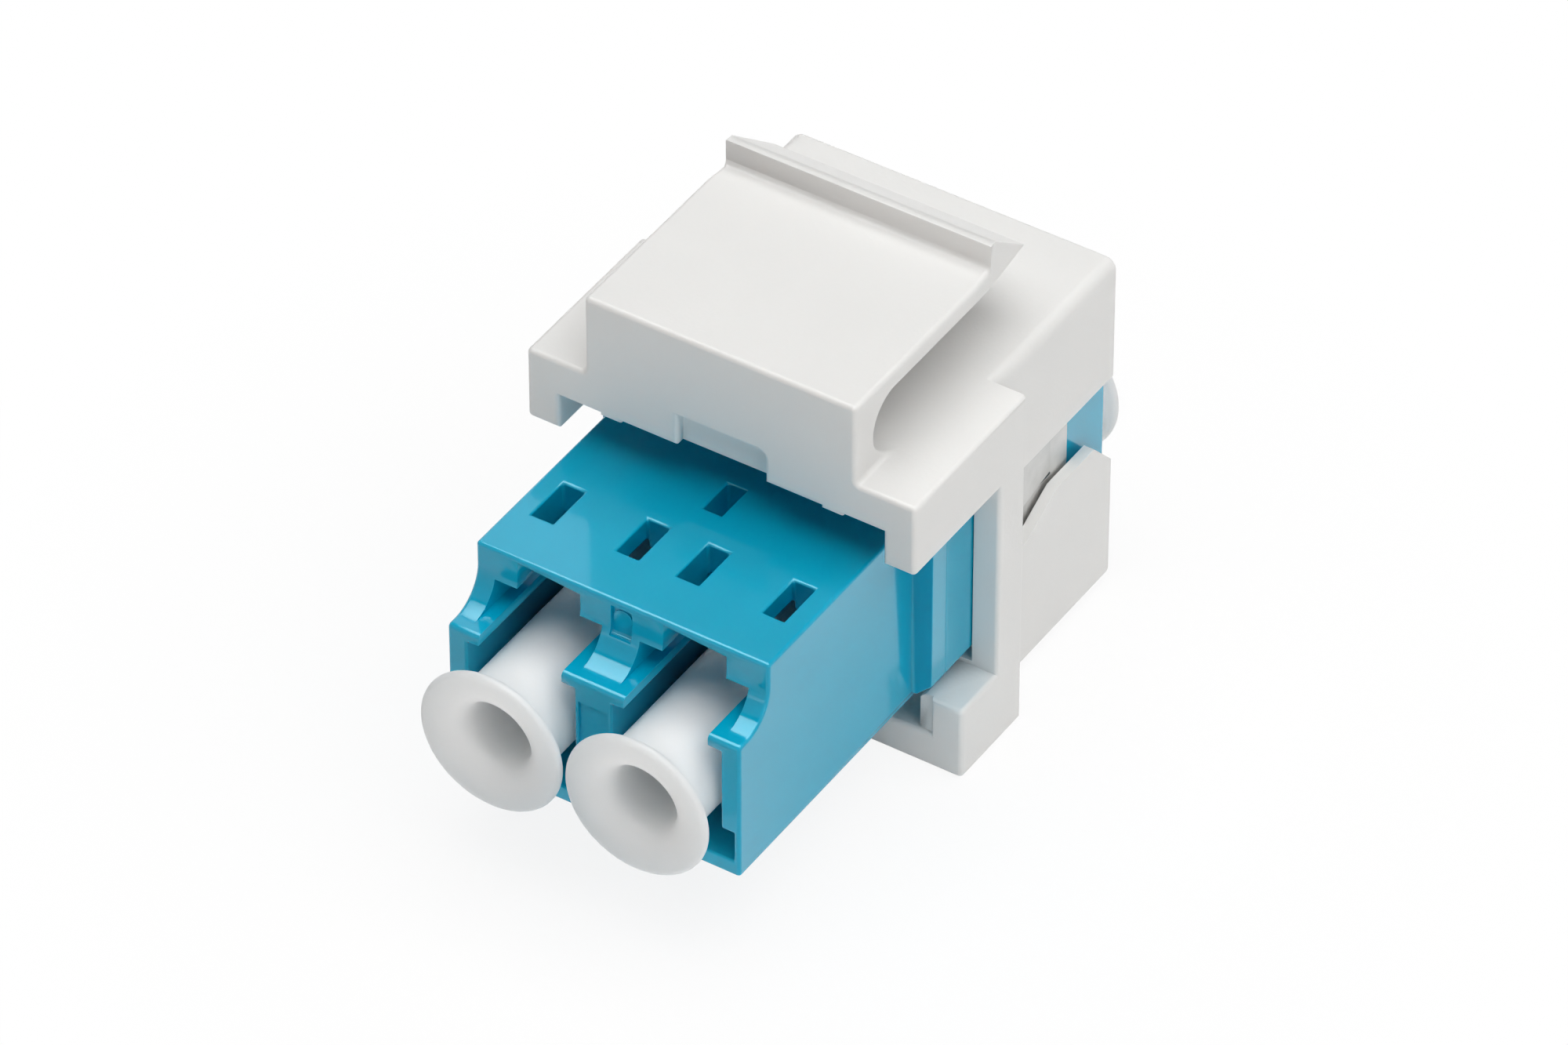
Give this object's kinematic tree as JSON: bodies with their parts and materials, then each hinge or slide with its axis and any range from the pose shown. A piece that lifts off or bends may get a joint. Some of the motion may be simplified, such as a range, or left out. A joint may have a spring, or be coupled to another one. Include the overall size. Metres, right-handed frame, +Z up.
{
  "type": "fibre keystone adapter",
  "caption": "Duplex fibre adapter in a white snap-in keystone holder, with an aqua two-part housing, split sleeves, a steel clip and pull-off dust caps.",
  "frame": {"origin": "on the resting face, under the middle of the whole adapter with its caps on", "axes": "+Y along the ports from the front of the holder to its rear, +X across the two ports, +Z up towards the latch arm"},
  "size_m": [0.0166, 0.0284, 0.0201],
  "materials": {
    "white_plastic": "fine satin moulding",
    "aqua_plastic": "smooth moulding, half gloss",
    "cap_plastic": "soft milky polyethylene",
    "clip_steel": "rolled spring steel",
    "sleeve_ceramic": "ground white ceramic"
  },
  "bodies": {
    "adapter": {"keystone_frame": "white_plastic", "adapter_front_half": "aqua_plastic", "adapter_rear_half": "aqua_plastic", "spring_clip": "clip_steel", "split_sleeve_left": "sleeve_ceramic", "split_sleeve_right": "sleeve_ceramic"},
    "front_left_cap": {"dust_cap_front_left": "cap_plastic"},
    "front_right_cap": {"dust_cap_front_right": "cap_plastic"},
    "rear_left_cap": {"dust_cap_rear_left": "cap_plastic"},
    "rear_right_cap": {"dust_cap_rear_right": "cap_plastic"}
  },
  "joints": [
    {"name": "front_left_cap_pull", "type": "slide", "parent": "adapter", "child": "front_left_cap", "axis": [0, -1, 0], "range_m": [0, 0.014]},
    {"name": "front_right_cap_pull", "type": "slide", "parent": "adapter", "child": "front_right_cap", "axis": [0, -1, 0], "range_m": [0, 0.014]},
    {"name": "rear_left_cap_pull", "type": "slide", "parent": "adapter", "child": "rear_left_cap", "axis": [0, 1, 0], "range_m": [0, 0.014]},
    {"name": "rear_right_cap_pull", "type": "slide", "parent": "adapter", "child": "rear_right_cap", "axis": [0, 1, 0], "range_m": [0, 0.014]}
  ]
}
